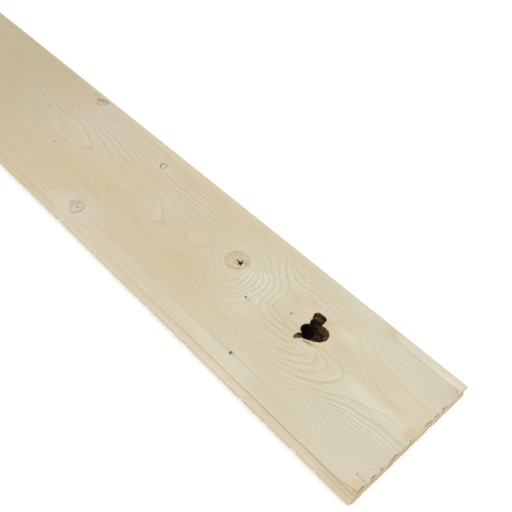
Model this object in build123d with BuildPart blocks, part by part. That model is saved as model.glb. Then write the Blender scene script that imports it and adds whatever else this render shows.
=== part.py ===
"""Tongue-and-groove softwood plank: one sawn and planed board with a bark-lined knot hole and a checked knot.

The board lies flat. X runs along the grain with the sawn near end at +X, Y runs across from the tongue (-Y)
to the groove (+Y), and Z is up. The origin is at the middle of the underside.
"""

import os
from math import cos, radians, sin

from build123d import *

# Board, in millimetres
length = 1219.0  # 4 ft stock
thickness = 18.3  # planed from nominal 1 in
face_width = 174.6  # face that shows once laid, planed from nominal 8 in
arris_ease = 0.8  # softened long edges of both faces

# Tongue and groove
upper_lip = 5.5  # face down to the top of the tongue
tongue_thickness = 6.0
tongue_reach = 6.4
tongue_nose = 1.0  # lead-in chamfer on the tongue
fit_clearance = 0.2  # above and below the tongue of the next board
groove_end_gap = 0.8  # left in front of that tongue
lower_lip_setback = 0.8  # lets the faces close before the undersides

# Knot hole: a fallen dead knot, deepest under its main lobe, placed from the near end and the groove edge
knot_hole_from_end = 149.1
knot_hole_from_groove_edge = 70.5
knot_hole_span = 45.3  # across the board, bulb to tail
knot_hole_ledge_depth = 9.0
knot_hole_bulb_depth = 7.0
knot_hole_tail_depth = 2.5
wood_under_knot_hole = 3.5
knot_floor_share = 0.85  # each lobe's circles at its floor, against its mouth
knot_lean_shares = (-0.30, 0.22)  # sideways run along and across the board, of each lobe's depth

# Lobes of the knot hole: each is the hull of its circles, as (along, across, radius) shares of the span
main_lobe_shares = (
    (0.131, 0.024, 0.254),
    (-0.096, -0.090, 0.187),
    (-0.016, -0.285, 0.070),
    (0.174, -0.166, 0.080),
)
deep_lobe_shares = ((-0.080, -0.075, 0.180), (-0.060, -0.110, 0.165), (-0.030, -0.260, 0.060))
bulb_lobe_shares = ((-0.232, 0.393, 0.107), (-0.103, 0.406, 0.102), (-0.091, 0.152, 0.140))
tail_lobe_shares = ((-0.164, -0.442, 0.060), (-0.143, -0.349, 0.067))

# Star check: the shrinkage crack at the heart of the sound knot
star_from_end = 268.2
star_from_groove_edge = 65.7
star_reach = 9.2  # longest ray
star_core_radius = 1.9
star_depth = 6.0
star_ray_turns = (104.0, 181.0, 255.0, 307.0, 42.0)  # degrees from the grain
star_ray_reach_shares = (0.57, 1.0, 0.56, 0.52, 0.34)

# Places worked out from the sizes above
overall_width = face_width + tongue_reach
near_end = length / 2
groove_edge = overall_width / 2
shoulder = groove_edge - face_width
tongue_tip = -overall_width / 2
lower_lip_edge = groove_edge - lower_lip_setback
groove_root = groove_edge - tongue_reach - groove_end_gap
tongue_top = thickness - upper_lip
tongue_bottom = tongue_top - tongue_thickness
groove_top = tongue_top + fit_clearance
groove_bottom = tongue_bottom - fit_clearance

knot_hole_x = near_end - knot_hole_from_end
knot_hole_y = groove_edge - knot_hole_from_groove_edge
knot_hole_cuts = (
    (knot_hole_ledge_depth, main_lobe_shares),
    (thickness - wood_under_knot_hole, deep_lobe_shares),
    (knot_hole_bulb_depth, bulb_lobe_shares),
    (knot_hole_tail_depth, tail_lobe_shares),
)
star_x = near_end - star_from_end
star_y = groove_edge - star_from_groove_edge

face_plane = Plane.XY.offset(thickness)

with BuildPart() as plank:
    # Matched section, drawn across the board and run its whole length
    with BuildSketch(Plane.YZ.offset(-near_end)):
        with BuildLine():
            Polyline(
                (shoulder, 0),
                (lower_lip_edge, 0),
                (lower_lip_edge, groove_bottom),
                (groove_root, groove_bottom),
                (groove_root, groove_top),
                (groove_edge, groove_top),
                (groove_edge, thickness),
                (shoulder, thickness),
                (shoulder, tongue_top),
                (tongue_tip, tongue_top),
                (tongue_tip, tongue_bottom),
                (shoulder, tongue_bottom),
                close=True,
            )
        make_face()
    extrude(amount=length)

    # Lead-in on the tongue, then the eased arrises of the face and the underside
    long_edges = plank.edges().filter_by(Axis.X)
    chamfer(long_edges.group_by(Axis.Y)[0], tongue_nose)
    long_edges = plank.edges().filter_by(Axis.X)
    fillet(long_edges.group_by(Axis.Z)[-1] + long_edges.group_by(Axis.Z)[0], arris_ease)

    # Knot hole, one cut for each lobe, leaning and narrowing from its mouth to its floor
    for lobe_depth, circle_shares in knot_hole_cuts:
        for depth, size_share in ((0, 1.0), (lobe_depth, knot_floor_share)):
            with BuildSketch(face_plane.offset(-depth)):
                for along_share, across_share, radius_share in circle_shares:
                    lobe_x = knot_hole_x + along_share * knot_hole_span + knot_lean_shares[0] * depth
                    lobe_y = knot_hole_y + across_share * knot_hole_span + knot_lean_shares[1] * depth
                    with Locations((lobe_x, lobe_y)):
                        Circle(radius_share * size_share * knot_hole_span)
                make_hull()
        loft(ruled=True, mode=Mode.SUBTRACT)

    # Star check, each ray a wedge that runs out from the knot's heart
    for turn, reach_share in zip(star_ray_turns, star_ray_reach_shares):
        along = (cos(radians(turn)), sin(radians(turn)))
        side = (-along[1], along[0])
        tip = star_reach * reach_share
        with BuildSketch(face_plane):
            with BuildLine():
                Polyline(
                    (star_x + star_core_radius * side[0], star_y + star_core_radius * side[1]),
                    (star_x - star_core_radius * side[0], star_y - star_core_radius * side[1]),
                    (star_x + tip * along[0], star_y + tip * along[1]),
                    close=True,
                )
            make_face()
        extrude(amount=-star_depth, mode=Mode.SUBTRACT)

plank.part.label = "plank"

os.makedirs("parts", exist_ok=True)
export_step(plank.part, "parts/plank.step")
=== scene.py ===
"""Looks of a planed tongue-and-groove softwood plank: ring figure, knots, bark-lined knot hole, sawn ends.

Places on the board are in millimetres: along from the sawn near end (inwards is negative), across from the
groove edge (towards the tongue is negative) and depth below the face.
"""

from math import radians

import bpy
import numpy as np
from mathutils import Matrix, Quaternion, Vector, noise


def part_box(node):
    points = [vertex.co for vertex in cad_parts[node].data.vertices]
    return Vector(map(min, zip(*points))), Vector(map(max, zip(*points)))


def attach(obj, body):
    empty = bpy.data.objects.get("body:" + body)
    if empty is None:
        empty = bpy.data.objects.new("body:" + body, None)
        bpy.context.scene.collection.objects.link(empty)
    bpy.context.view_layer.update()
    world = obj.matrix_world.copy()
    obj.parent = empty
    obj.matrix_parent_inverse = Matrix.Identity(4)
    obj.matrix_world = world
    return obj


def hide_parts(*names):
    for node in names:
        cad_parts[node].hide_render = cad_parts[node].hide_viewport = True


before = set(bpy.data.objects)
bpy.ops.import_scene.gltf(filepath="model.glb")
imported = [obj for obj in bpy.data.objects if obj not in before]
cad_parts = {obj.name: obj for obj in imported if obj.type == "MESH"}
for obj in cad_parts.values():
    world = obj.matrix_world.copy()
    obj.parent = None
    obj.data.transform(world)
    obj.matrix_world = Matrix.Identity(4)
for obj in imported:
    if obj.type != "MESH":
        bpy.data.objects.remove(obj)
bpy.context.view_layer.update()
board_low, board_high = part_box("plank")

mm = 0.001
board_length = (board_high.x - board_low.x) / mm
board_thickness = (board_high.z - board_low.z) / mm
tongue_tip = (board_low.y - board_high.y) / mm
# Across: where the face ends and the tongue starts, and how much of the tongue's tip gets knocked
shoulder = -174.6
tongue_nose = 1.2
# Closeness that counts as the same place, and the wood over the underside that stays plain
slip = 0.05
underside_zone = 1.0

# Hollows, as (along, across) of the middle and how far they reach
knot_hole = (-149.1, -70.5)
knot_hole_reach = 30.0
star_check = (-270.0, -65.7)
star_check_reach = 10.0

# Cuts that make small faces: (from, to, step), across and along, and across at the near end
cuts_across = (-3, -174, 3.0)
cuts_along = ((-1, -8, 1.5), (-12, -300, 4.0), (-306, 6 - board_length, 6.0))
end_cuts_across = (-1, -174, 1.0)
# First and last cut down in a finer zone, and the step and spare room of those at a nick in the tongue
cuts_down = (-0.6, 4 - board_thickness)
nick_step = 1.0
# Face zones cut finer: (along, across, reach, step)
fine_zones = (
    (*knot_hole, knot_hole_reach, 1.3),
    (*star_check, star_check_reach, 1.0),
    (-273, -66, 18, 2.0),
    (-458, -156, 16, 2.0),
    (-454, -29, 9, 1.5),
    (-613, -12, 14, 2.0),
)

# Growth-ring lines as they run over the face: ring number, counted outwards, and (along, across) points
ring_lines = (
    # Rings closing round the star knot
    (-7, (-273, -66)),
    (-4, (-256, -66), (-273, -47), (-291, -66), (-273, -86)),
    (-3, (-286, -86), (-275, -93)),
    (-2, (-302, -70), (-301, -88)),
    # Fan beside the star knot
    (-3, (-250, -75), (-247, -92), (-256, -106)),
    (-2, (-243, -75), (-243, -91), (-249, -105)),
    (-1, (-237, -75), (-237, -91), (-246, -108)),
    (0, (-231, -75), (-235, -91), (-244, -113)),
    (1, (-249, -47), (-228, -62), (-224.5, -82), (-228, -107), (-237, -115)),
    # Lines that leave the fan, pass the knot hole and turn back in nested noses
    (1, (-202, -118), (-171, -108), (-150, -98), (-137, -95), (-142, -102), (-153, -111), (-180, -126)),
    (2, (-258, -35), (-237, -49), (-219, -67), (-214, -88), (-206, -98), (-184, -100), (-160, -98.5)),
    (2, (-136, -88.5), (-123.5, -97), (-130, -108.5), (-142, -117.5), (-162, -125.5)),
    (3, (-249, -28), (-229, -44), (-211.5, -62), (-208, -82), (-197, -90), (-170, -90.5), (-130, -87)),
    (3, (-116, -89), (-110, -95), (-114, -105), (-136, -121.5), (-162, -128)),
    (4, (-242, -20), (-224, -38), (-204.5, -58), (-202, -82), (-184, -86), (-140, -86), (-116, -83.5)),
    (4, (-96, -84.5), (-91.5, -92), (-96, -101), (-118, -122), (-136, -129.5)),
    # Long lines over the knot hole, and under it towards the near end
    (5, (-217, -33.5), (-205, -36.3), (-188, -34.2), (-172, -33.8)),
    (5, (-155, -36.2), (-130, -42), (-106, -46)),
    (5.4, (-20, -68), (0, -68), (-20, -96), (0, -94)),
    (5, (-90, -62), (-70, -72.5), (-50, -78), (0, -80)),
    (4.85, (-20, -84)),
    (4.6, (-60, -87)),
    (5, (0, -86), (-20, -88), (-40, -91), (-74, -103.5), (-94, -117.5), (-120, -130)),
    (6, (-214, -25.5), (-193, -26.3), (-172, -25.6), (-130, -32)),
    (6, (-98, -36), (-66, -48.5), (-50, -52), (0, -51)),
    (6, (0, -102), (-40, -104.8), (-60, -108.8), (-86, -121.5), (-100, -127.5), (-117, -135)),
    (7, (-214, -19.5), (-193, -20.6), (-157, -22.5), (-103, -29), (-75, -40), (0, -44)),
    (7, (0, -110), (-50, -113.5), (-70, -117.5), (-90, -127), (-110, -135)),
    (9, (-170, -12.5), (-100, -20), (-50, -27), (0, -28)),
    (10, (0, -122), (-50, -125), (-80, -133), (-100, -140.5)),
    (11, (-212, -5), (-166, -6), (-100, -10), (-50, -13.5), (0, -13)),
    (13, (0, -134), (-50, -135.5), (-80, -142.5), (-100, -149), (-130, -158)),
    (17.5, (0, -149), (-50, -150.5), (-80, -154), (-115, -163)),
    (22, (0, -166), (-50, -166), (-100, -172)),
    # Plain wood inside the noses, and between the fan and the tongue
    (0.5, (-190, -121), (-165, -112), (-148, -102.5)),
    (0.6, (-260, -125), (-205, -133)),
    (4, (-200, -150), (-310, -154)),
    (10, (-200, -174), (-310, -174)),
    # Long lines left of the star knot
    (1, (-580, -47), (-544, -53), (-522, -58), (-482, -62.8), (-440, -63.5), (-386, -65.5), (-350, -67.5)),
    (1, (-316, -63.5), (-305, -58), (-296, -48), (-289, -40), (-275, -37.5), (-262, -41)),
    (2, (-587, -41), (-550, -46.5), (-500, -53), (-430, -53)),
    (2, (-340, -56), (-302, -47), (-291, -31), (-270, -30)),
    (3, (-582, -38), (-546, -39), (-514, -43), (-492, -46)),
    (3, (-434, -43.5), (-410, -47), (-374, -46), (-338, -45)),
    (4, (-540, -33), (-495, -38), (-440, -36.5), (-402, -39.5), (-350, -36.5), (-300, -22)),
    (5, (-442, -32.5), (-400, -34.2), (-360, -32)),
    (6, (-430, -28), (-375, -28)),
    (7, (-430, -25), (-393, -23), (-336, -20)),
    (10, (-518, -11.5), (-480, -10), (-450, -9)),
    # Two flames, one inside the other, and the rows of lines under them
    (0, (-602, -55), (-573, -57), (-546, -63), (-517, -70.5)),
    (0, (-450, -73), (-409, -72), (-388, -84), (-380, -93)),
    (0, (-388, -103), (-409, -108), (-470, -112)),
    (-1, (-700, -65), (-652, -68), (-610, -67), (-574, -67), (-556, -73.5), (-545, -78.5), (-540, -81.5)),
    (-1, (-545, -87), (-551, -91), (-569, -95.5), (-605, -98.5), (-640, -107)),
    (-1.5, (-600, -82), (-570, -81)),
    (-0.6, (-525, -84), (-530, -97), (-545, -103)),
    (-0.5, (-500, -88), (-500, -103)),
    (-0.35, (-440, -90)),
    (-0.15, (-405, -91)),
    (0.6, (-345, -88), (-325, -95)),
    (1, (-360, -116), (-302, -112)),
    (2, (-522, -134), (-480, -134), (-400, -136)),
    (6, (-522, -148), (-480, -147)),
    (14, (-500, -174), (-640, -174)),
    # Straighter wood towards the far end
    (0, (-700, -52)),
    (3, (-700, -36), (-900, -40), (-1219, -38)),
    (9, (-700, -10), (-900, -9), (-1219, -7)),
    (-1, (-900, -64), (-900, -101), (-1219, -62), (-1219, -104)),
    (-1.6, (-720, -84), (-800, -83), (-1000, -82), (-1200, -83)),
    (0.5, (-640, -119)),
    (6, (-640, -140), (-900, -140), (-1219, -143)),
    (14, (-900, -172), (-1219, -173)),
)
# Give in the surface through those points, so that it bends gently between them
ring_slack = 0.00002
# Width of a latewood line and of the pale wood before it, and the shares of a ring it stays within
line_width = 4.5
line_shares = (0.08, 0.65)
# Heart of the tree below the face: across, depth on the tongue side, how much deeper on the groove side and
# half the width of that change, then the width of a ring on the way down
heart_across, heart_depth, heart_drop, heart_change, ring_width = -85, 45, 35, 12, 2.8
# Unevenness of the rings and the fibres: how far, size of its features along, across and down, and seed
ring_wander_along = (1.5, (40, 20, 60), 3.1)
ring_wander_across = (0.8, (60, 20, 40), 7.7)
fibre_wander = (1.5, (120, 40, 40), 5.3)
# Pale bands beside the groove and the tongue: where their edge starts and ends, in from the groove edge, and
# where they ease in and out, in from the near end
groove_band_edge, groove_band_in, groove_band_out = (3, 11), (80, 130), (640, 760)
tongue_band_edge, tongue_band_in, tongue_band_out = (155.5, 158.5), (110, 160), (460, 520)
# Where the change to warm wood and to the darker, more olive far end starts and ends, in from the near end
warm_change, far_end_tone_change = (250, 330), (480, 800)
# Count of years that makes rings 4, 6 and 7 the strong ones
first_year = 18122
# Where the ring lines show more or less: (along, across, reach along, reach across, amount)
ring_shows = (
    (-232, -72, 32, 42, 0.60),
    (-140, -108, 52, 20, 0.55),
    (-50, -125, 62, 30, 0.50),
    (-70, -152, 60, 14, 0.20),
    (-40, -86, 44, 12, 0.25),
    (-50, -45, 50, 20, -0.15),
    (-60, -168, 80, 9, -0.30),
    (-185, -35, 40, 6, 0.45),
    (-190, -22, 45, 8, 0.25),
    (-180, -108, 30, 12, -0.15),
    (-420, -38, 80, 9, 0.58),
    (-390, -28, 50, 8, 0.30),
    (-350, -67, 50, 5, 0.35),
    (-440, -54, 60, 6, -0.25),
    (-450, -12, 80, 10, -0.20),
    (-545, -50, 55, 16, 0.50),
    (-640, -67, 50, 6, 0.40),
    (-575, -88, 60, 14, 0.40),
    (-555, -80, 30, 10, 0.20),
    (-395, -90, 26, 20, 0.40),
    (-330, -98, 28, 22, -0.30),
    (-285, -22, 40, 20, -0.30),
    (-272, -102, 30, 14, -0.30),
    (-680, -30, 50, 25, -0.20),
    (-360, -137, 130, 26, -0.25),
    (-380, -165, 140, 14, -0.25),
    (-620, -140, 90, 40, -0.22),
    (-235, -150, 60, 26, -0.20),
)
# Warmer, paler and greyer wood: (along, across, reach along, reach across, amount)
warm_wood = (
    (-440, -115, 110, 40, 0.45),
    (-285, -122, 50, 24, 0.50),
    (-400, -20, 60, 12, 0.30),
    (-450, -55, 60, 20, 0.30),
    (-540, -140, 120, 40, 0.40),
    (-640, -25, 60, 25, 0.50),
    (-150, -70, 30, 28, 0.40),
    (-4, -25, 8, 14, 0.60),
    (-4, -87, 8, 8, 0.60),
    (-4, -110, 6, 70, 0.60),
    (-6, -166, 9, 9, 0.70),
)
pale_wood = (
    (-10, -100, 65, 120, 0.35),
    (-60, -89, 42, 9, 0.55),
    (-85, -30, 70, 22, 0.40),
    (-100, -108, 50, 18, 0.25),
    (-100, -150, 60, 22, 0.25),
    (-190, -158, 42, 18, 0.32),
    (-230, -68, 34, 36, 0.60),
    (-121, -50, 14, 8, 0.60),
    (-158, -41, 13, 6, 0.45),
    (-140, -93, 14, 5, 0.45),
    (-169, -74, 6, 12, 0.35),
    (-135, -10, 45, 8, 0.30),
    (-195, -28, 40, 10, 0.25),
    (-225, -110, 25, 12, 0.20),
    (-273, -66, 24, 22, 0.25),
    (-560, -42, 42, 22, 0.15),
    (-460, -156, 22, 18, 0.45),
    (-600, -15, 8, 8, 0.50),
    (-454, -29, 11, 9, 0.50),
    (-392, -92, 22, 10, 0.10),
)
grey_wood = (
    (-568, -42, 45, 28, 0.55),
    (-590, -22, 22, 18, 0.35),
    (-565, -83, 30, 10, 0.25),
    (-630, -85, 60, 25, 0.30),
    (-690, -65, 50, 25, 0.30),
    (-395, -72, 35, 22, 0.35),
    (-432, -140, 24, 13, 0.50),
    (-460, -156, 24, 20, 0.45),
    (-632, -8, 9, 5, 0.60),
    (-30, -140, 55, 36, 0.30),
    (-40, -28, 30, 10, 0.25),
)

# Sound knots: outline points in order, how far they cover the wood and how dark they are, from 0 to 1, then
# their rim: how dark all round, the direction in degrees where it is darkest, and how much darker there
knot_outlines = (
    {
        "outline": (
            (-288, -66), (-285, -56.5), (-277, -51), (-267, -52), (-260.5, -58), (-259, -66),
            (-261.5, -74), (-268, -79.5), (-277, -80.5), (-285, -75),
        ),
        "cover": 0.72, "dark": 0.25, "rim": 0.05, "rim_turn": 200, "rim_more": 0.18,
    },
    {
        "outline": (
            (-469.5, -156), (-467, -150.5), (-462, -146.5), (-457, -145), (-452.5, -147), (-449.5, -152),
            (-448, -159), (-449.5, -165), (-454, -167), (-460, -165.5), (-466, -161.5),
        ),
        "cover": 0.45, "dark": 0.30, "rim": 0.08, "rim_turn": -20, "rim_more": 0.42,
    },
    {
        "outline": (
            (-459.7, -28), (-457.2, -24.5), (-453.7, -24), (-450.2, -27), (-449, -31), (-450.7, -34),
            (-453.7, -35), (-456.7, -33),
        ),
        "cover": 0.35, "dark": 0.25, "rim": 0.65, "rim_turn": 215, "rim_more": 0.30,
    },
    {
        "outline": (
            (-623, -9), (-618, -7), (-612, -5), (-607, -5), (-603.5, -7.5), (-604.5, -11), (-607, -16),
            (-610, -19), (-614, -19.5), (-618, -17), (-621.5, -13),
        ),
        "cover": 0.85, "dark": 0.55, "rim": 0.15, "rim_turn": 90, "rim_more": 0.45,
    },
)
# Farthest that a sound knot's looks reach from its middle
knot_zone = 26
# Knots that the fibres run round: (along, across, radius)
fibre_knots = ((-273, -66, 14.5), (-457, -156, 10.5), (-454, -29, 5.5), (-613, -12, 9), (-150, -67, 15))
# How the fibres part there: reach along and across, in radii, and the share of the way that they are pushed
parting_along, parting_across, parting_share = 2.6, 1.7, 0.75

# Stains, specks, lines and one painted shadow: (along, across, half length, half width, half depth, turn in
# degrees, colour, amount, softness of the edge)
marks = (
    # Specks
    (-184.4, -156.6, 2.0, 2.2, 3, 0, "#1E140C", 0.95, 0.35),
    (-228.3, -95.1, 1.5, 1.5, 3, 0, "#4C4234", 0.95, 0.35),
    (-223.5, -95.0, 4.5, 1.2, 3, 0, "#A89A7C", 0.45, 0.6),
    (-180.6, -72.5, 1.1, 1.1, 3, 0, "#5A5040", 0.9, 0.4),
    (-158.5, -39.3, 1.2, 1.0, 3, 0, "#93917C", 0.7, 0.5),
    (-647.8, -72.5, 2.2, 1.5, 3, 0, "#8E8266", 0.7, 0.5),
    (-578.3, -109.8, 2.0, 1.5, 3, 0, "#A2906E", 0.6, 0.5),
    (-565.0, -103.8, 1.5, 1.2, 3, 0, "#A2906E", 0.5, 0.5),
    (-459.4, -110.8, 1.5, 1.2, 3, 0, "#A2906E", 0.6, 0.5),
    (-428.0, -169.0, 1.6, 1.2, 3, 0, "#A2906E", 0.4, 0.6),
    # Hearts, cracks and shades of the sound knots
    (-464.5, -154.0, 4.5, 7.0, 4, 0, "#BDAA92", 0.42, 0.7),
    (-461.5, -153.0, 1.2, 7.0, 4, -8, "#9F8D6E", 0.35, 0.8),
    (-456.2, -156.0, 1.4, 0.8, 4, -35, "#6A5A44", 0.85, 0.5),
    (-468.6, -155.8, 1.8, 1.0, 4, 10, "#8F7E62", 0.60, 0.7),
    (-457.0, -28.3, 2.0, 2.0, 4, 0, "#A99A7C", 0.50, 0.7),
    (-453.0, -29.5, 0.9, 2.4, 4, 15, "#E4DCC8", 0.60, 0.6),
    (-616.5, -9.8, 7.0, 2.4, 4, 24, "#94836F", 0.50, 0.7),
    (-609.0, -9.0, 3.0, 1.8, 4, 10, "#CDBDA0", 0.50, 0.7),
    (-610.8, -14.6, 3.4, 2.8, 4, 0, "#CFC0A6", 0.62, 0.7),
    (-281.0, -59.5, 4.5, 2.6, 4, 15, "#C4B578", 0.45, 0.8),
    (-284.0, -60.0, 0.9, 1.6, 4, -20, "#9C8A58", 0.55, 0.6),
    (-280.0, -58.5, 1.8, 0.7, 4, 0, "#DCCF98", 0.60, 0.6),
    (-282.0, -70.5, 4.0, 5.5, 4, 0, "#D6B98A", 0.45, 0.8),
    (-264.0, -61.0, 3.6, 4.2, 4, -30, "#B7A27A", 0.50, 0.8),
    (-264.5, -74.0, 3.0, 2.6, 4, 0, "#B29C74", 0.45, 0.8),
    (-274.0, -78.6, 4.0, 1.6, 4, 0, "#B8A27A", 0.45, 0.8),
    (-276.5, -74.6, 4.0, 2.2, 4, 0, "#DEC9A0", 0.50, 0.8),
    (-263.4, -65.3, 2.2, 0.9, 4, 15, "#E2D5B4", 0.70, 0.7),
    (-268.4, -72.4, 1.4, 2.0, 4, 0, "#E2D3AE", 0.70, 0.7),
    # Short streaks in the fibres
    (-375.0, -94.0, 7.0, 4.5, 3, -25, "#C6B588", 0.60, 0.7),
    (-344.0, -85.5, 9.0, 1.0, 3, -24, "#A99A7C", 0.35, 0.9),
    (-315.5, -82.5, 10.0, 0.9, 3, 45, "#A99A7C", 0.30, 0.9),
    (-315.0, -109.0, 13.0, 0.8, 3, 0, "#A99A7C", 0.30, 0.9),
    (-461.0, -128.0, 18.0, 0.8, 3, -10, "#A99A7C", 0.30, 0.9),
    (-460.0, -99.3, 7.0, 0.8, 3, 15, "#A99A7C", 0.30, 0.9),
    (-176.0, -86.5, 8.0, 0.6, 3, -8, "#A39272", 0.45, 0.9),
    (-179.0, -91.0, 11.0, 0.6, 3, 0, "#A39272", 0.45, 0.9),
    (-176.0, -98.0, 16.0, 0.8, 3, 3, "#B5A27C", 0.40, 0.9),
    (-177.0, -43.0, 12.0, 0.8, 3, 8, "#B3A588", 0.35, 0.9),
    (-192.0, -53.0, 6.0, 4.5, 3, 0, "#BBAE92", 0.30, 0.9),
    (-174.0, -54.0, 11.0, 0.9, 3, 18, "#E2DCCB", 0.40, 0.9),
    (-200.0, -156.0, 65.0, 1.4, 3, 0, "#BDB08E", 0.35, 0.9),
    (-690.0, -8.5, 32.0, 0.8, 3, 0, "#A6987A", 0.55, 0.9),
    (-633.0, -8.0, 5.0, 3.0, 3, 10, "#B3A79A", 0.50, 0.8),
    (-543.0, -83.0, 2.2, 6.5, 3, -25, "#B9A27E", 0.35, 0.9),
    (-490.0, -11.0, 30.0, 0.7, 3, 0, "#A99A7C", 0.30, 0.9),
    (-490.0, -62.0, 16.0, 0.7, 3, -5, "#A99A7C", 0.30, 0.9),
    # Rubbed strip along the groove, bright but warm
    (-400.0, -2.5, 170.0, 3.5, 3, 0, "#D8C29C", 0.40, 0.7),
    # Pale strip by the groove at the near end, with a dark line under it
    (-38.0, -5.0, 52.0, 7.5, 3, 0, "#E2DBC9", 0.45, 0.35),
    (-18.0, -9.5, 18.0, 2.0, 3, 4, "#EAE0C8", 0.45, 0.6),
    (-42.0, -13.0, 45.0, 0.7, 3, 0, "#A39272", 0.30, 0.9),
    # Painted shadow of a neighbouring board's end: a darker olive wedge by the groove
    (-92.0, -7.0, 7.0, 4.0, 3, -30, "#C5BA98", 0.60, 0.7),
    # Round the knot hole: a resin streak under it, dark joins at its tail and yellowed wood
    (-139.0, -85.5, 11.0, 1.5, 3, 18, "#B9A56C", 0.80, 0.8),
    (-143.0, -87.2, 5.0, 1.0, 3, 12, "#7E6A44", 0.70, 0.7),
    (-153.2, -88.2, 1.3, 1.3, 3, 0, "#3A2A1C", 0.85, 0.5),
    (-152.6, -86.8, 1.8, 1.1, 3, 0, "#2A1C12", 0.90, 0.5),
    (-133.0, -79.5, 7.0, 4.0, 3, 25, "#DBCB9E", 0.60, 0.8),
    (-168.0, -57.0, 4.5, 9.0, 3, 0, "#E2CDA2", 0.50, 0.9),
    (-127.0, -69.0, 4.5, 7.0, 3, 0, "#E2CFA6", 0.40, 0.9),
    (-145.0, -53.0, 6.0, 4.0, 3, -35, "#D2BC8C", 0.55, 0.9),
    # Cracks and yellowed wood at the near end, the last one on the tongue
    (-12.8, -157.4, 1.3, 0.7, 4, 0, "#7A6A50", 0.60, 0.6),
    (-11.0, -172.2, 8.0, 0.6, 4, 6, "#8A7350", 0.55, 0.8),
    (-3.5, -171.5, 2.4, 1.6, 4, 0, "#AC845E", 0.60, 0.7),
    (-4.0, -14.5, 3.0, 0.9, 3, -35, "#A98E62", 0.55, 0.7),
    (-4.0, -88.0, 6.0, 7.0, 3, 0, "#CBB48A", 0.50, 0.9),
    (-5.0, -166.0, 6.0, 5.0, 3, 0, "#D6B684", 0.45, 0.9),
    (-35.0, -78.0, 26.0, 4.0, 3, -4, "#CBB993", 0.35, 0.9),
    (-18.0, -178.0, 24.0, 3.4, 14, 0, "#C2A878", 0.45, 0.6),
)
# Tear-out along the near end's top edge: (from, to, how deep), across
tear_outs = (
    (-36, -43, 0.8), (-48, -58, 1.0), (-61, -72, 1.5), (-93, -95, 0.8),
    (-113, -125, 1.0), (-133, -139, 1.0), (-145, -152, 1.5), (-159, -172, 1.0),
)
tear_out_colour = "#3C3024"
# Split in from the near end: across, half its width at the face, and how far in and how deep it runs
split_across, split_half, split_run, split_depth = -157.7, 0.35, 13.0, 2.0
# Nicks in the tongue's edge: along, half length and how far in
tongue_nicks = (
    (-43, 2, 1.0), (-69.5, 3, 1.5), (-107, 2, 0.8), (-143, 2, 1.0), (-225, 2, 1.2),
    (-291.5, 3, 1.5), (-307, 3, 1.2), (-389, 2, 1.0), (-461, 3, 1.2), (-532, 2, 1.0),
)
# Relief: how far it pushes and how big its lumps are, and how far the knot hole's brim is frayed
frayed_brim = (2.0, 4.0)
frayed_reach = 5.0
bark_lumps = (3.0, 4.5)
bark_crumbs = (1.2, 1.8)
saw_mark_depth, saw_mark_size = 0.8, 3.0
# Depths between which the bark's relief sets in
bark_starts = (0.2, 3.0)
# How near an end a face counts as part of its saw cut, and the turn in degrees that still shades smooth
saw_cut_zone = 1.5
smooth_turn = 40

# Painted light: a highlight on the arris and a lift on the tongue against the shade in its corner: (across,
# times the wood's own)
edge_painted_light = (
    (-170.0, 1.00), (-172.5, 1.00), (-173.3, 1.08), (-174.2, 1.07), (-174.4, 1.00),
    (-174.8, 1.13), (-176.5, 1.10), (-178.0, 1.07), (-180.2, 1.07), (-180.7, 0.98),
)

# Bark and flakes in the knot hole, and painted shade in its deep lobe and the star check's core; same form
# as the marks
bark_marks = (
    (-158.5, -49.5, 6.0, 2.2, 30, 0, "#7A6444", 0.55, 0.7),
    (-144.0, -58.8, 8.0, 2.2, 30, 0, "#806644", 0.55, 0.7),
    (-146.5, -69.5, 5.0, 2.4, 30, 35, "#5C4A3C", 0.40, 0.8),
    # Painted shade: a near-black patch over the hole's deep left lobe
    (-156.5, -73.5, 8.5, 12.5, 30, 0, "#030101", 0.98, 0.9),
    (-156.5, -90.0, 3.2, 4.5, 30, 0, "#806A42", 0.75, 0.5),
    (-162.3, -51.2, 1.0, 1.6, 30, 20, "#A39179", 0.8, 0.5),
    (-163.9, -54.5, 1.0, 2.2, 30, 20, "#A08C66", 0.8, 0.5),
    (-138.2, -62.6, 1.4, 3.2, 30, 0, "#85745E", 0.75, 0.6),
    (-136.5, -71.0, 1.4, 2.4, 30, 20, "#7A684C", 0.70, 0.6),
    (-146.5, -76.5, 4.5, 1.6, 30, 35, "#75603F", 0.65, 0.6),
    (-134.8, -75.0, 1.2, 2.0, 30, -20, "#6E5B42", 0.70, 0.6),
    (-140.5, -80.0, 3.2, 1.2, 30, 35, "#6A543A", 0.60, 0.6),
    # The star check, brown along its rays, with painted shade making its deep core black
    (-270.5, -65.7, 10.0, 8.0, 30, 0, "#A17C46", 0.9, 0.2),
    (-270.5, -64.5, 2.2, 2.0, 30, 0, "#070403", 0.5, 0.5),
)

# Studio, in metres, with a small gap in mm between the plank and the floor
floor_size = 12.0
floor_gap = 0.2
floor_lift = 0.22
room_light = 0.81
lamp_size = 2.4
lamp_power = 24.0
lamp_place = (1.0, -1.2, 2.4)
lamp_aim = (0.2, 0.0, 0.0)

# Camera, from the face's near groove corner, in mm
lens = 49.73
eye_from_corner = (100.4, -461.7, 589.7)
aim_from_corner = (-265.5, -44.5, 0.0)
camera_roll = 7.35


def linear(hex_colour):
    """An sRGB hex colour as linear red, green, blue and alpha."""
    shares = [int(hex_colour[place:place + 2], 16) / 255 for place in (1, 3, 5)]
    return [((s + 0.055) / 1.055) ** 2.4 if s > 0.04045 else s / 12.92 for s in shares] + [1.0]


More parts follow.
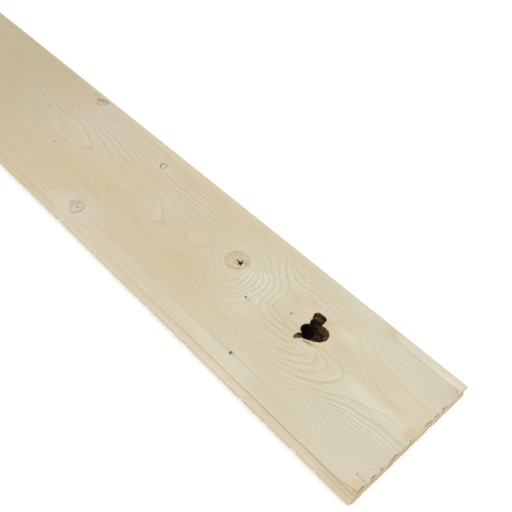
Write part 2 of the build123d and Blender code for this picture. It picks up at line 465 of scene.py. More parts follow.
def add(tree, kind, inputs=None, **settings):
    """Adds a shader node with its settings, and links or sets the inputs given by name or number."""
    made = tree.nodes.new("ShaderNode" + kind)
    for name, value in settings.items():
        setattr(made, name, value)
    for key, value in (inputs or {}).items():
        if isinstance(value, bpy.types.NodeSocket):
            tree.links.new(value, made.inputs[key])
        else:
            made.inputs[key].default_value = value
    return made


def bare_material(name):
    """A new material and its node tree, with nothing in it yet."""
    material = bpy.data.materials.new(name)
    material.use_nodes = True
    material.node_tree.nodes.clear()
    return material, material.node_tree


# Shape


def spaced(start, stop, step):
    """Places from start to stop, about step apart."""
    return list(np.linspace(start, stop, max(2, round(abs(stop - start) / step) + 1)))


def board_places(points):
    """Points in metres as along, across and depth in millimetres."""
    along = (points[:, 0] - board_high.x) / mm
    across = (points[:, 1] - board_high.y) / mm
    depth = (board_high.z - points[:, 2]) / mm
    return along, across, depth


def read(items, field):
    """One three-number field of a mesh's vertices or faces, as an array."""
    values = np.empty(3 * len(items), np.float32)
    items.foreach_get(field, values)
    return values.reshape(-1, 3).astype(float)


def ramp(values, low, high):
    """0 below low, 1 above high and straight between."""
    return np.clip((values - low) / (high - low), 0, 1)


def ease(values, low, high):
    """0 below low, 1 above high and smooth between."""
    share = ramp(values, low, high)
    return share * share * (3 - 2 * share)


def near(places, middle, reach):
    """Which places lie within reach of a middle, along the face."""
    return np.hypot(places[0] - middle[0], places[1] - middle[1]) < reach


def cut(axis, places):
    """Bisects all in sight at each place, given in mm along, across or up from the face's near corner."""
    normal = Vector((axis == "X", axis == "Y", axis == "Z"))
    for place in places:
        bpy.ops.mesh.select_all(action="SELECT")
        bpy.ops.mesh.bisect(plane_co=board_high + normal * place * mm, plane_no=normal)


def show_only(plank, wanted):
    """Goes into edit mode with just the wanted faces in sight and selected."""
    bpy.ops.object.mode_set(mode="EDIT")
    bpy.ops.mesh.reveal()
    bpy.ops.mesh.select_all(action="DESELECT")
    bpy.ops.object.mode_set(mode="OBJECT")
    plank.data.polygons.foreach_set("select", wanted)
    bpy.ops.object.mode_set(mode="EDIT")
    bpy.ops.mesh.hide(unselected=True)
    bpy.ops.mesh.select_all(action="SELECT")


def show_all():
    """Back to object mode with nothing hidden."""
    bpy.ops.mesh.reveal()
    bpy.ops.object.mode_set(mode="OBJECT")


def board_blank():
    """A merged copy of the board, cut into small faces that can carry its figure and relief."""
    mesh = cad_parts["plank"].data.copy()
    mesh.materials.clear()
    plank = bpy.data.objects.new("sawn_plank", mesh)
    bpy.context.scene.collection.objects.link(plank)
    bpy.ops.object.select_all(action="DESELECT")
    plank.select_set(True)
    bpy.context.view_layer.objects.active = plank
    bpy.ops.object.mode_set(mode="EDIT")
    bpy.ops.mesh.select_all(action="SELECT")
    bpy.ops.mesh.remove_doubles(threshold=0.002 * mm)
    bpy.ops.mesh.dissolve_limited(angle_limit=radians(0.2))
    cut("Y", spaced(*cuts_across))
    for stretch in cuts_along:
        cut("X", spaced(*stretch))
    bpy.ops.object.mode_set(mode="OBJECT")
    for along, across, reach, step in fine_zones:
        places = board_places(read(plank.data.polygons, "center"))
        above_underside = places[2] < board_thickness - underside_zone
        show_only(plank, near(places, (along, across), reach) & above_underside)
        cut("Y", spaced(across - reach, across + reach, step))
        cut("X", spaced(along - reach, along + reach, step))
        cut("Z", spaced(*cuts_down, step))
        show_all()
    along = board_places(read(plank.data.polygons, "center"))[0]
    show_only(plank, along > -split_run)
    cut("Y", spaced(*end_cuts_across))
    cut("Y", (split_across - split_half, split_across, split_across + split_half))
    show_all()
    across = board_places(read(plank.data.polygons, "center"))[1]
    show_only(plank, across < shoulder)
    for place, half, _ in tongue_nicks:
        cut("X", spaced(place - half - nick_step, place + half + nick_step, nick_step))
    show_all()
    return plank


def nudge(plank, wanted, step):
    """Moves the wanted vertices by a step in mm."""
    bpy.ops.object.mode_set(mode="EDIT")
    bpy.ops.mesh.select_mode(type="VERT")
    bpy.ops.mesh.select_all(action="DESELECT")
    bpy.ops.object.mode_set(mode="OBJECT")
    plank.data.vertices.foreach_set("select", wanted)
    bpy.ops.object.mode_set(mode="EDIT")
    bpy.ops.transform.translate(value=Vector(step) * mm)
    bpy.ops.object.mode_set(mode="OBJECT")


def roughen(plank, name, weights, direction, strength, size, level=0.5, basis="BLENDER_ORIGINAL"):
    """Pushes weighted vertices to and fro by a cloudy pattern, with its strength and lump size in mm."""
    group = plank.vertex_groups.new(name=name)
    for index in np.nonzero(weights > 0.01)[0]:
        group.add([int(index)], float(weights[index]), "REPLACE")
    clouds = bpy.data.textures.new(name, "CLOUDS")
    clouds.noise_basis = basis
    clouds.noise_scale = size * mm
    push = plank.modifiers.new(name, "DISPLACE")
    push.texture = clouds
    push.texture_coords = "LOCAL"
    push.vertex_group = name
    push.direction = direction
    push.strength = strength * mm
    push.mid_level = level
    bpy.ops.object.modifier_apply(modifier=name)
    plank.vertex_groups.clear()


def hollow_faces(plank):
    """Which faces line the knot hole or the star check."""
    places = board_places(read(plank.data.polygons, "center"))
    inside = (places[2] > 0.1) & (places[2] < board_thickness - underside_zone)
    return inside & (near(places, knot_hole, knot_hole_reach) | near(places, star_check, star_check_reach))


def knot_hole_relief(plank):
    """Crumbles the bark inside the knot hole and frays the wood round its brim."""
    along, across, depth = board_places(read(plank.data.vertices, "co"))
    close = near((along, across), knot_hole, knot_hole_reach) & (depth < board_thickness - underside_zone)
    brim = np.zeros(len(along), bool)
    for face in np.nonzero(hollow_faces(plank))[0]:
        brim[list(plank.data.polygons[face].vertices)] = True
    brim &= close & (depth < 0.02)
    places = np.stack((along, across, depth), -1)
    off_brim = np.full(len(along), board_length)
    off_brim[close] = np.linalg.norm(places[close][:, None] - places[brim][None], axis=-1).min(1)
    fray = 1 - ease(off_brim, 0.0, frayed_reach)
    roughen(plank, "frayed_along", fray, "X", *frayed_brim)
    roughen(plank, "frayed_across", fray, "Y", *frayed_brim, basis="IMPROVED_PERLIN")
    bark = close * ease(depth, *bark_starts)
    roughen(plank, "bark_lumps", bark, "NORMAL", *bark_lumps)
    roughen(plank, "bark_crumbs", bark, "NORMAL", *bark_crumbs)


def sawn_end_relief(plank):
    """Makes the saw cuts uneven, tears the near end's top edge and opens the split in it."""
    along, across, depth = board_places(read(plank.data.vertices, "co"))
    near_end = along > -slip
    far_end = along < slip - board_length
    roughen(plank, "near_saw_cut", near_end * 1.0, "X", -saw_mark_depth, saw_mark_size, level=0.0)
    roughen(plank, "far_saw_cut", far_end * 1.0, "X", saw_mark_depth, saw_mark_size, level=0.0)
    on_face = depth < slip
    for start, stop, tear in tear_outs:
        nudge(plank, near_end & on_face & (across < start) & (across > stop), (-tear / 2, 0, -tear))
    in_split = (np.abs(across - split_across) < slip) & (along > -split_run) & on_face
    nudge(plank, in_split, (0, 0, -split_depth))


def tongue_relief(plank):
    """Dents the tongue's edge where it has been knocked."""
    along, across, _ = board_places(read(plank.data.vertices, "co"))
    for place, half, inwards in tongue_nicks:
        nudge(plank, (across < tongue_tip + tongue_nose) & (np.abs(along - place) < half), (0, inwards, 0))


# Figure


def thin_plate(points, values, slack):
    """A function that carries values smoothly through scattered points, as a bent thin plate would."""

    def bend(places):
        gaps = np.hypot(places[:, :1] - points[:, 0], places[:, 1:] - points[:, 1])
        return gaps ** 2 * np.log(np.maximum(gaps, 1e-9))

    def tilt(places):
        return np.column_stack((np.ones(len(places)), places))

    count = len(points)
    system = np.zeros((count + 3, count + 3))
    system[:count, :count] = bend(points) + slack * np.eye(count)
    system[:count, count:] = tilt(points)
    system[count:, :count] = tilt(points).T
    weights = np.linalg.solve(system, np.append(values, (0, 0, 0)))
    return lambda places: bend(places) @ weights[:count] + tilt(places) @ weights[count:]


def wander(along, across, depth, reach, size, seed):
    """Gentle seeded unevenness, up to about that reach either way, with features of that size."""
    points = np.stack((along / size[0], across / size[1], depth / size[2] + seed), -1)
    return reach * np.array([noise.noise(Vector(point)) for point in points])


def growth_rings(along, across, depth):
    """Rings grown up to each point, with a line at each whole number, and the line's share of its ring."""
    points = np.array([point for _, *line in ring_lines for point in line]) * mm
    numbers = np.array([number for number, *line in ring_lines for _ in line], float)
    surface = thin_plate(points, numbers, ring_slack)
    shifted = np.stack((
        along + wander(along, across, depth, *ring_wander_along),
        across + wander(along, across, depth, *ring_wander_across),
    ), -1) * mm
    here, ahead, aside = (
        np.concatenate([surface(part + step) for part in np.array_split(shifted, 20)])
        for step in ((0, 0), (mm, 0), (0, mm))
    )
    line_share = np.clip(line_width * np.hypot(ahead - here, aside - here), *line_shares)
    # The heart lies below the face, so rings fall or rise on the way down
    off_heart = across - heart_across
    heart_below = heart_depth + heart_drop * ease(off_heart, -heart_change, heart_change)
    farther = np.hypot(off_heart, heart_below - depth) - np.hypot(off_heart, heart_below)
    return here + farther / ring_width, line_share


def grain_places(along, across, depth):
    """The same places with the fibres straightened, so that streaks along them part round the knots."""
    straight = across.copy()
    for knot_along, knot_across, radius in fibre_knots:
        off_along = (along - knot_along) / (parting_along * radius)
        off_across = (across - knot_across) / (parting_across * radius)
        straight -= parting_share * (across - knot_across) * np.exp(-(off_along ** 2 + off_across ** 2))
    straight += wander(along, across, depth, *fibre_wander)
    return np.stack((along, straight, -depth), -1)


def patches(along, across, spots):
    """Soft listed spots added up."""
    total = np.zeros_like(along)
    for spot_along, spot_across, reach_along, reach_across, amount in spots:
        away = ((along - spot_along) / reach_along) ** 2 + ((across - spot_across) / reach_across) ** 2
        total += amount * np.exp(-away)
    return total


def closed_curve(corners, steps=6):
    """A smooth closed line through given corners."""
    here = np.array(corners, float)
    before, after, beyond = (np.roll(here, turn, 0) for turn in (1, -1, -2))
    line = []
    for share in np.linspace(0, 1, steps, endpoint=False):
        line.append(
            here + 0.5 * share * (after - before)
            + share ** 2 * (before - 2.5 * here + 2 * after - 0.5 * beyond)
            + share ** 3 * 0.5 * (3 * here - before - 3 * after + beyond)
        )
    return np.stack(line, 1).reshape(-1, 2)


def inside_by(along, across, line):
    """How far inside a closed line each place lies, in mm; outside is negative."""
    x, y = along[:, None] - line[:, 0], across[:, None] - line[:, 1]
    run, rise = (np.roll(line, -1, 0) - line).T
    share = np.clip((x * run + y * rise) / (run ** 2 + rise ** 2), 0, 1)
    off = np.hypot(x - share * run, y - share * rise).min(1)
    crossed = (y < 0) != (y < rise)
    left_of = x * rise < y * run
    inside = (crossed & (left_of == (rise > 0))).sum(1) % 2 == 1
    return np.where(inside, off, -off)


def knot_figure(along, across, depth):
    """Attributes of the sound knots: how far inside one a point lies, and its cover, darkness and rim."""
    figure = {name: np.zeros_like(along) for name in ("knot_cover", "knot_dark", "knot_rim")}
    figure["knot_inside"] = np.full_like(along, -knot_zone)
    for look in knot_outlines:
        line = closed_curve(look["outline"])
        middle = line.mean(0)
        close = np.nonzero(near((along, across), middle, knot_zone) & (depth < board_thickness / 2))[0]
        turn = np.arctan2(across[close] - middle[1], along[close] - middle[0]) - radians(look["rim_turn"])
        figure["knot_inside"][close] = inside_by(along[close], across[close], line)
        figure["knot_cover"][close] = look["cover"]
        figure["knot_dark"][close] = look["dark"]
        figure["knot_rim"][close] = look["rim"] + look["rim_more"] * np.maximum(np.cos(turn), 0)
    return figure


def write_figure(plank):
    """Writes the figure onto the mesh: rings, straightened grain, how much rings show, tones and knots."""
    along, across, depth = board_places(read(plank.data.vertices, "co"))
    groove_band = ease(-along, *groove_band_in) * (1 - ease(-along, *groove_band_out))
    groove_band *= 1 - ease(-across, *groove_band_edge)
    tongue_band = ease(-along, *tongue_band_in) * (1 - ease(-along, *tongue_band_out))
    tongue_band *= ease(-across, *tongue_band_edge)
    ring, line_share = growth_rings(along, across, depth)
    values = {
        "ring": ring,
        "line_share": line_share,
        "ring_show": np.clip(0.30 + patches(along, across, ring_shows), 0.05, 1),
        "warm": np.clip(patches(along, across, warm_wood) + 0.2 * ease(-along, *warm_change), 0, 1),
        "pale": np.clip(patches(along, across, pale_wood) + 0.4 * groove_band + 0.25 * tongue_band, 0, 1),
        "grey": np.clip(patches(along, across, grey_wood), 0, 1),
        # Darker, more olive wood towards the far end
        "far_end_tone": ease(-along, *far_end_tone_change),
        **knot_figure(along, across, depth),
    }
    for name, numbers in values.items():
        attribute = plank.data.attributes.new(name, "FLOAT", "POINT")
        attribute.data.foreach_set("value", numbers.astype(np.float32))
    grain = plank.data.attributes.new("grain", "FLOAT_VECTOR", "POINT")
    grain.data.foreach_set("vector", grain_places(along, across, depth).astype(np.float32).ravel())


# Materials


def board_place(tree):
    """Object coordinates as millimetres along, across and above the face, from the near groove corner."""
    corner = [-place / mm for place in board_high]
    from_middle = add(tree, "TexCoord").outputs["Object"]
    scale = (1 / mm, 1 / mm, 1 / mm)
    return add(tree, "Mapping", {"Vector": from_middle, "Location": corner, "Scale": scale}).outputs[0]


def ring_bands(tree, place):
    """Latewood lines, sharp inwards, soft outwards, and pale earlywood before each; some are stronger."""
    ring = add(tree, "Attribute", attribute_name="ring").outputs["Fac"]
    line_share = add(tree, "Attribute", attribute_name="line_share").outputs["Fac"]
    waver = add(tree, "TexNoise", {"Vector": place, "Scale": 1 / 6, "Detail": 3.0}).outputs["Fac"]
    waver = add(tree, "MapRange", {"Value": waver, "To Min": -0.5, "To Max": 0.5}).outputs[0]
    ring = add(tree, "Math", {0: waver, 1: line_share, 2: ring}, operation="MULTIPLY_ADD").outputs[0]
    since_line = add(tree, "Math", {0: ring}, operation="FRACT").outputs[0]
    to_line = add(tree, "Math", {0: 1.0, 1: since_line}, operation="SUBTRACT").outputs[0]
    year = add(tree, "Math", {0: ring}, operation="FLOOR").outputs[0]
    year = add(tree, "Math", {0: year, 1: first_year}, operation="ADD").outputs[0]
    strength = add(tree, "TexWhiteNoise", {"W": year}, noise_dimensions="1D").outputs["Value"]
    strength = add(tree, "MapRange", {"Value": strength, "To Min": 0.4, "To Max": 1.0}).outputs[0]
    bands = []
    for off in (since_line, to_line):
        fade = {"Value": off, "From Max": line_share, "To Min": strength, "To Max": 0.0}
        bands.append(add(tree, "MapRange", fade).outputs[0])
    return bands


def stains_and_painted_shade(tree, place, tint, spots):
    """The tint with each listed stain, speck, line or patch of painted shade laid over it.

    Each stain's place waits for the tint of the one before it: a material that works out so many at once is
    too big to draw and comes out black.
    """
    for along, across, half_along, half_across, half_depth, turn, colour, amount, soft in spots:
        frame_of_spot = {
            "Vector": place,
            "Location": (along, across, 0.0),
            "Rotation": (0.0, 0.0, radians(turn)),
            "Scale": (half_along, half_across, half_depth),
        }
        spot = add(tree, "Mapping", frame_of_spot, vector_type="TEXTURE").outputs[0]
        away = add(tree, "VectorMath", {0: spot}, operation="LENGTH").outputs["Value"]
        fade = {"Value": away, "From Min": 1.0 + soft, "From Max": 1.0 - soft, "To Max": amount}
        cover = add(tree, "MapRange", fade, interpolation_type="SMOOTHSTEP", clamp=False).outputs[0]
        tint = add(tree, "Mix", {0: cover, 6: tint, 7: linear(colour)}, data_type="RGBA").outputs[2]
        wait = {0: tint, 1: (0, 0, 0), 2: place}
        place = add(tree, "VectorMath", wait, operation="MULTIPLY_ADD").outputs[0]
    return tint


def knot_faces(tree, place, tint):
    """Sound knots cut across: dense tan wood, blotched with resin, in a dark rim that comes and goes."""
    names = ("knot_inside", "knot_cover", "knot_dark", "knot_rim")
    looks = [add(tree, "Attribute", attribute_name=name).outputs["Fac"] for name in names]
    inside, cover, dark, rim = looks
    uneven = add(tree, "TexNoise", {"Vector": place, "Scale": 1 / 3, "Detail": 2.0}).outputs["Fac"]
    uneven = add(tree, "MapRange", {"Value": uneven, "To Min": -1.4, "To Max": 1.4}).outputs[0]
    inside = add(tree, "Math", {0: inside, 1: uneven}, operation="ADD").outputs[0]
    edge = {"Value": inside, "From Min": -1.1, "From Max": 1.3}
    disc = add(tree, "MapRange", edge, interpolation_type="SMOOTHSTEP").outputs[0]
    disc = add(tree, "Math", {0: disc, 1: cover}, operation="MULTIPLY").outputs[0]
    blotch = add(tree, "TexNoise", {"Vector": place, "Scale": 1 / 4, "Detail": 3.0}).outputs["Fac"]
    blotchy = {"Value": blotch, "From Min": 0.25, "From Max": 0.75, "To Min": -0.45, "To Max": 0.45}
    blotch = add(tree, "MapRange", blotchy).outputs[0]
    tone = add(tree, "Math", {0: dark, 1: blotch}, operation="ADD", use_clamp=True).outputs[0]
    light_to_dark = {0: tone, 6: linear("#D3C19B"), 7: linear("#9C8664")}
    wood = add(tree, "Mix", light_to_dark, data_type="RGBA").outputs[2]
    tint = add(tree, "Mix", {0: disc, 6: tint, 7: wood}, data_type="RGBA").outputs[2]
    off_rim = add(tree, "Math", {0: inside, 1: 0.7}, operation="SUBTRACT").outputs[0]
    off_rim = add(tree, "Math", {0: off_rim}, operation="ABSOLUTE").outputs[0]
    band = {"Value": off_rim, "From Min": 1.5, "From Max": 0.0}
    ring = add(tree, "MapRange", band, interpolation_type="SMOOTHSTEP").outputs[0]
    ring = add(tree, "Math", {0: ring, 1: rim}, operation="MULTIPLY").outputs[0]
    return add(tree, "Mix", {0: ring, 6: tint, 7: linear("#77644A")}, data_type="RGBA").outputs[2]


def planed_softwood():
    """Planed spruce: cream earlywood, fine tan latewood lines, branch knots and a dull satin surface."""
    material, tree = bare_material("planed_softwood")
    place = board_place(tree)
    grain = add(tree, "Attribute", attribute_name="grain").outputs["Vector"]
    show = add(tree, "Attribute", attribute_name="ring_show").outputs["Fac"]
    late, early = ring_bands(tree, place)
    late = add(tree, "Math", {0: late, 1: show}, operation="MULTIPLY").outputs[0]
    early = add(tree, "Math", {0: early, 1: show}, operation="MULTIPLY").outputs[0]

    # Fibres, drawn coarser than they are so that they show, and short resin-canal flecks
    fibre_place = add(tree, "Mapping", {"Vector": grain, "Scale": (1 / 90, 1 / 1.1, 1 / 4)}).outputs[0]
    fibre = add(tree, "TexNoise", {"Vector": fibre_place, "Scale": 1.0, "Detail": 3.0}).outputs["Fac"]
    fleck_place = add(tree, "Mapping", {"Vector": grain, "Scale": (1 / 9, 1 / 0.9, 1 / 2)}).outputs[0]
    fleck = add(tree, "TexNoise", {"Vector": fleck_place, "Scale": 1.0, "Detail": 1.0}).outputs["Fac"]
    sparse = {"Value": fleck, "From Min": 0.58, "From Max": 0.75, "To Max": 0.12}
    fleck = add(tree, "MapRange", sparse).outputs[0]
    cloud_place = add(tree, "Mapping", {"Vector": grain, "Scale": (1 / 38, 1 / 14, 1 / 14)}).outputs[0]
    cloud = add(tree, "TexNoise", {"Vector": cloud_place, "Scale": 1.0, "Detail": 1.0}).outputs["Fac"]

    # Tones over the whole board, then the ring bands
    tint = linear("#D2C6A8")
    tones = (("warm", "#CEBC99"), ("pale", "#DBD6C4"), ("grey", "#D1C8BC"), ("far_end_tone", "#C1B392"))
    for name, colour in tones:
        amount = add(tree, "Attribute", attribute_name=name).outputs["Fac"]
        tint = add(tree, "Mix", {0: amount, 6: tint, 7: linear(colour)}, data_type="RGBA").outputs[2]
    for band, amount, colour in ((late, 0.47, "#A3957A"), (early, 0.45, "#E8E2D4")):
        cover = add(tree, "Math", {0: band, 1: amount}, operation="MULTIPLY").outputs[0]
        tint = add(tree, "Mix", {0: cover, 6: tint, 7: linear(colour)}, data_type="RGBA").outputs[2]
    for pattern, low, high in ((fibre, 0.955, 1.035), (cloud, 0.98, 1.02)):
        shading = {"Value": pattern, "From Min": 0.3, "From Max": 0.7, "To Min": low, "To Max": high}
        shade = add(tree, "MapRange", shading).outputs[0]
        tint = add(tree, "VectorMath", {0: tint, "Scale": shade}, operation="SCALE").outputs[0]
    tint = add(tree, "Mix", {0: fleck, 6: tint, 7: linear("#9A8A6A")}, data_type="RGBA").outputs[2]

    # Tongue side: a painted highlight on the arris, painted light on the tongue below it against its corner
    # shade, and a darker line high on the shoulder. A ramp holds shades up to 1 only, so it holds them less
    # 0.5
    parts = add(tree, "SeparateXYZ", {0: place})
    along, across, height = (parts.outputs[axis] for axis in "XYZ")
    edge_start = edge_painted_light[0][0]
    edge_span = {"Value": across, "From Min": edge_start, "From Max": tongue_tip}
    edge = add(tree, "ValToRGB", {"Fac": add(tree, "MapRange", edge_span).outputs[0]})
    stops = edge.color_ramp.elements
    stops.remove(stops[1])
    for stop_across, _ in edge_painted_light[1:]:
        stops.new((stop_across - edge_start) / (tongue_tip - edge_start))
    for stop, (_, shade) in zip(stops, edge_painted_light):
        stop.color = (shade - 0.5, shade - 0.5, shade - 0.5, 1)
    edge = add(tree, "Math", {0: edge.outputs["Color"], 1: 0.5}, operation="ADD").outputs[0]
    tint = add(tree, "VectorMath", {0: tint, "Scale": edge}, operation="SCALE").outputs[0]
    # A darker line high on the shoulder, strongest at the near end and gone 400 mm in
    on_shoulder = add(tree, "Math", {0: across, 1: shoulder, 2: 0.25}, operation="COMPARE").outputs[0]
    to_near_end = {"Value": along, "From Min": -400.0, "From Max": -20.0, "To Max": 0.5}
    most_shoulder_line = add(tree, "MapRange", to_near_end).outputs[0]
    shoulder_line = {"Value": height, "From Min": -3.2, "From Max": -1.2, "To Max": most_shoulder_line}
    shoulder_line = add(tree, "MapRange", shoulder_line, interpolation_type="SMOOTHSTEP").outputs[0]
    shoulder_line = add(tree, "Math", {0: shoulder_line, 1: on_shoulder}, operation="MULTIPLY").outputs[0]
    tint = add(tree, "Mix", {0: shoulder_line, 6: tint, 7: linear("#8B8060")}, data_type="RGBA").outputs[2]

    # Knots, stains, specks, a painted shadow and torn edges, with slightly ragged outlines
    ragged = add(tree, "TexNoise", {"Vector": place, "Scale": 1 / 2.5, "Detail": 2.0}).outputs["Color"]
    ragged = add(tree, "VectorMath", {0: ragged, 1: (0.5, 0.5, 0.5)}, operation="SUBTRACT").outputs[0]
    shift = {0: ragged, 1: (1.8, 1.2, 0.0), 2: place}
    ragged = add(tree, "VectorMath", shift, operation="MULTIPLY_ADD").outputs[0]
    tint = knot_faces(tree, place, tint)
    tint = stains_and_painted_shade(tree, ragged, tint, marks)
    tears = [
        (-0.4, (start + stop) / 2, 0.6 + 0.5 * tear, (start - stop) / 2, 2, 0, tear_out_colour, 0.85, 0.4)
        for start, stop, tear in tear_outs
    ]
    tint = stains_and_painted_shade(tree, ragged, tint, tears)

    relief = add(tree, "Math", {0: fibre, 1: 0.5, 2: late}, operation="MULTIPLY_ADD").outputs[0]
    bump = add(tree, "Bump", {"Height": relief, "Strength": 0.35, "Distance": 0.1 * mm}).outputs[0]
    satin = {"Base Color": tint, "Roughness": 0.62, "IOR": 1.45, "Normal": bump}
    shader = add(tree, "BsdfPrincipled", satin)
    add(tree, "OutputMaterial", {"Surface": shader.outputs[0]})
    return material


def sawn_end_grain():
    """Sawn end grain of spruce: its open pores make it darker and duller, with ring arcs and saw marks."""
    material, tree = bare_material("sawn_end_grain")
    place = board_place(tree)
    late, _ = ring_bands(tree, place)
    pores = add(tree, "TexNoise", {"Vector": place, "Scale": 1 / 0.9, "Detail": 3.0}).outputs["Fac"]
    saw_place = add(tree, "Mapping", {"Vector": place, "Scale": (1.0, 1 / 0.8, 1 / 14)}).outputs[0]
    saw = add(tree, "TexNoise", {"Vector": saw_place, "Scale": 1.0, "Detail": 2.0}).outputs["Fac"]
    patch = add(tree, "TexNoise", {"Vector": place, "Scale": 1 / 18, "Detail": 2.0}).outputs["Fac"]
    patch = add(tree, "MapRange", {"Value": patch, "From Min": 0.35, "From Max": 0.7}).outputs[0]
    pale_to_tan = {0: patch, 6: linear("#DFD1B0"), 7: linear("#CBB890")}
    tint = add(tree, "Mix", pale_to_tan, data_type="RGBA").outputs[2]
    late = add(tree, "Math", {0: late, 1: 0.5}, operation="MULTIPLY").outputs[0]
    tint = add(tree, "Mix", {0: late, 6: tint, 7: linear("#9C845A")}, data_type="RGBA").outputs[2]
    relief = add(tree, "Math", {0: pores, 1: saw}, operation="ADD").outputs[0]
    shading = {"Value": relief, "From Min": 0.7, "From Max": 1.3, "To Min": 0.82, "To Max": 1.1}
    shade = add(tree, "MapRange", shading).outputs[0]
    tint = add(tree, "VectorMath", {0: tint, "Scale": shade}, operation="SCALE").outputs[0]
    tears = [
        (-0.4, (start + stop) / 2, 3.0, (start - stop) / 2, 1.5, 0, tear_out_colour, 0.7, 0.4)
        for start, stop, _ in tear_outs
    ]
    tint = stains_and_painted_shade(tree, place, tint, tears)
    bump = add(tree, "Bump", {"Height": relief, "Strength": 0.6, "Distance": 0.25 * mm}).outputs[0]
    dull = {"Base Color": tint, "Roughness": 0.85, "IOR": 1.45, "Normal": bump}
    shader = add(tree, "BsdfPrincipled", dull)
    add(tree, "OutputMaterial", {"Surface": shader.outputs[0]})
    return material


def knot_bark():
    """Old bark round a fallen knot: crumbly and dark, with painted shade from brown at the brim to nearly
    black below, a few pale flakes.
    """
    material, tree = bare_material("knot_bark")
    place = board_place(tree)
    lumpy = {"Vector": place, "Scale": 1 / 3.0, "Detail": 4.0, "Roughness": 0.6}
    lumps = add(tree, "TexNoise", lumpy).outputs["Fac"]
    lump_shade = add(tree, "MapRange", {"Value": lumps, "From Min": 0.38, "From Max": 0.68}).outputs[0]
    flakes = add(tree, "TexNoise", {"Vector": place, "Scale": 1 / 1.8, "Detail": 3.0}).outputs["Fac"]
    sparse = {"Value": flakes, "From Min": 0.60, "From Max": 0.70, "To Max": 0.7}
    flakes = add(tree, "MapRange", sparse).outputs[0]
    height = add(tree, "SeparateXYZ", {0: place}).outputs["Z"]
    brim = add(tree, "MapRange", {"Value": height, "From Min": -6.5, "From Max": -1.0}).outputs[0]
    flakes = add(tree, "Math", {0: flakes, 1: brim}, operation="MULTIPLY").outputs[0]
    black_to_brown = {0: lump_shade, 6: linear("#190C08"), 7: linear("#45291D")}
    tint = add(tree, "Mix", black_to_brown, data_type="RGBA").outputs[2]
    # Painted shade: brown near the brim, the dark bark left nearly black deeper down
    brown = add(tree, "Math", {0: brim, 1: 0.9}, operation="MULTIPLY").outputs[0]
    tint = add(tree, "Mix", {0: brown, 6: tint, 7: linear("#6E5A33")}, data_type="RGBA").outputs[2]
    tint = add(tree, "Mix", {0: flakes, 6: tint, 7: linear("#8E7A5E")}, data_type="RGBA").outputs[2]
    tint = stains_and_painted_shade(tree, place, tint, bark_marks)
    bump = add(tree, "Bump", {"Height": lumps, "Strength": 0.8, "Distance": 0.8 * mm}).outputs[0]
    dull = {"Base Color": tint, "Roughness": 0.9, "Specular IOR Level": 0.08, "Normal": bump}
    shader = add(tree, "BsdfPrincipled", dull)
    add(tree, "OutputMaterial", {"Surface": shader.outputs[0]})
    return material


def finish_faces(plank, hollow):
    """Finishes the faces: planed wood, bark inside the two hollows and end grain on the sawn ends."""
    for finish in (planed_softwood(), knot_bark(), sawn_end_grain()):
        plank.data.materials.append(finish)
    along = board_places(read(plank.data.polygons, "center"))[0]
    normals = read(plank.data.polygons, "normal")
    at_end = (along > -saw_cut_zone) | (along < saw_cut_zone - board_length)
    ends = (np.abs(normals[:, 0]) > 0.7) & at_end
    index = np.where(hollow, 1, np.where(ends, 2, 0))
    plank.data.polygons.foreach_set("material_index", index.astype(np.int32))
    bpy.ops.object.shade_smooth_by_angle(angle=radians(smooth_turn))


# Light, floor and camera


def rays_that_show(tree):
    """1 for rays that show the white surround, seen straight, in gloss or through glass; otherwise 0."""
    path = add(tree, "LightPath").outputs
    shows = path["Is Camera Ray"]
    for kind in ("Is Glossy Ray", "Is Transmission Ray"):
        shows = add(tree, "Math", {0: shows, 1: path[kind]}, operation="MAXIMUM").outputs[0]
    return shows


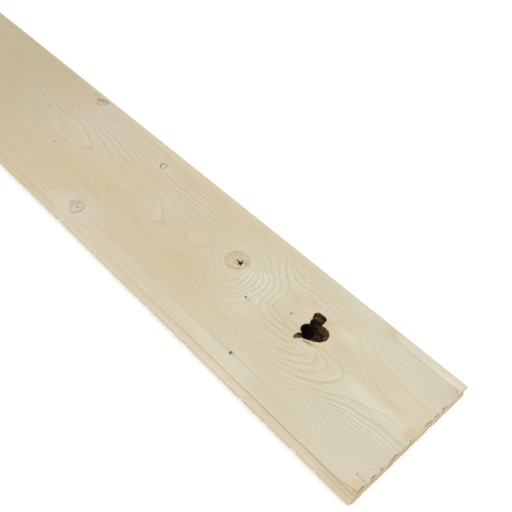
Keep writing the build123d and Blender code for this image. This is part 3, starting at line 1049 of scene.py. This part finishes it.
def studio_floor():
    """White floor that takes the plank's soft shadow."""
    bpy.ops.object.select_all(action="DESELECT")
    bpy.ops.mesh.primitive_plane_add(size=floor_size, location=(0, 0, board_low.z - floor_gap * mm))
    floor = bpy.context.object
    floor.name = "studio_floor"
    material, tree = bare_material("white_floor")
    paint = add(tree, "BsdfDiffuse", {"Color": linear("#F2F2F2")}).outputs[0]
    lift = add(tree, "Math", {0: rays_that_show(tree), 1: floor_lift}, operation="MULTIPLY").outputs[0]
    glow = add(tree, "Emission", {"Color": (1, 1, 1, 1), "Strength": lift}).outputs[0]
    both = add(tree, "AddShader", {0: paint, 1: glow}).outputs[0]
    add(tree, "OutputMaterial", {"Surface": both})
    floor.data.materials.append(material)


def studio_light():
    """Soft white light from all round, and one broad lamp above the near end."""
    world = bpy.data.worlds.new("soft_studio")
    bpy.context.scene.world = world
    world.use_nodes = True
    tree = world.node_tree
    tree.nodes.clear()
    seen_or_lit = {"Value": rays_that_show(tree), "To Min": room_light, "To Max": 1.0}
    level = add(tree, "MapRange", seen_or_lit).outputs[0]
    room = add(tree, "Background", {"Color": (1, 1, 1, 1), "Strength": level}).outputs[0]
    add(tree, "OutputWorld", {"Surface": room})
    lamp = bpy.data.objects.new("broad_lamp", bpy.data.lights.new("broad_lamp", "AREA"))
    bpy.context.scene.collection.objects.link(lamp)
    lamp.data.size = lamp_size
    lamp.data.energy = lamp_power
    lamp.location = lamp_place
    lamp.rotation_mode = "QUATERNION"
    lamp.rotation_quaternion = (Vector(lamp_aim) - Vector(lamp_place)).to_track_quat("-Z", "Y")


def photo_camera():
    """The photograph's own viewpoint."""
    camera = bpy.data.objects.new("camera", bpy.data.cameras.new("camera"))
    bpy.context.scene.collection.objects.link(camera)
    bpy.context.scene.camera = camera
    camera.data.lens = lens
    eye = board_high + Vector(eye_from_corner) * mm
    aim = board_high + Vector(aim_from_corner) * mm
    camera.location = eye
    camera.rotation_mode = "QUATERNION"
    level = (aim - eye).to_track_quat("-Z", "Y")
    camera.rotation_quaternion = level @ Quaternion((0, 0, 1), radians(camera_roll))


plank = board_blank()
hollow = hollow_faces(plank)
write_figure(plank)
knot_hole_relief(plank)
sawn_end_relief(plank)
tongue_relief(plank)
finish_faces(plank, hollow)
studio_floor()
studio_light()
photo_camera()

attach(plank, "root")
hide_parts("plank")
bpy.context.scene.view_settings.view_transform = "Standard"
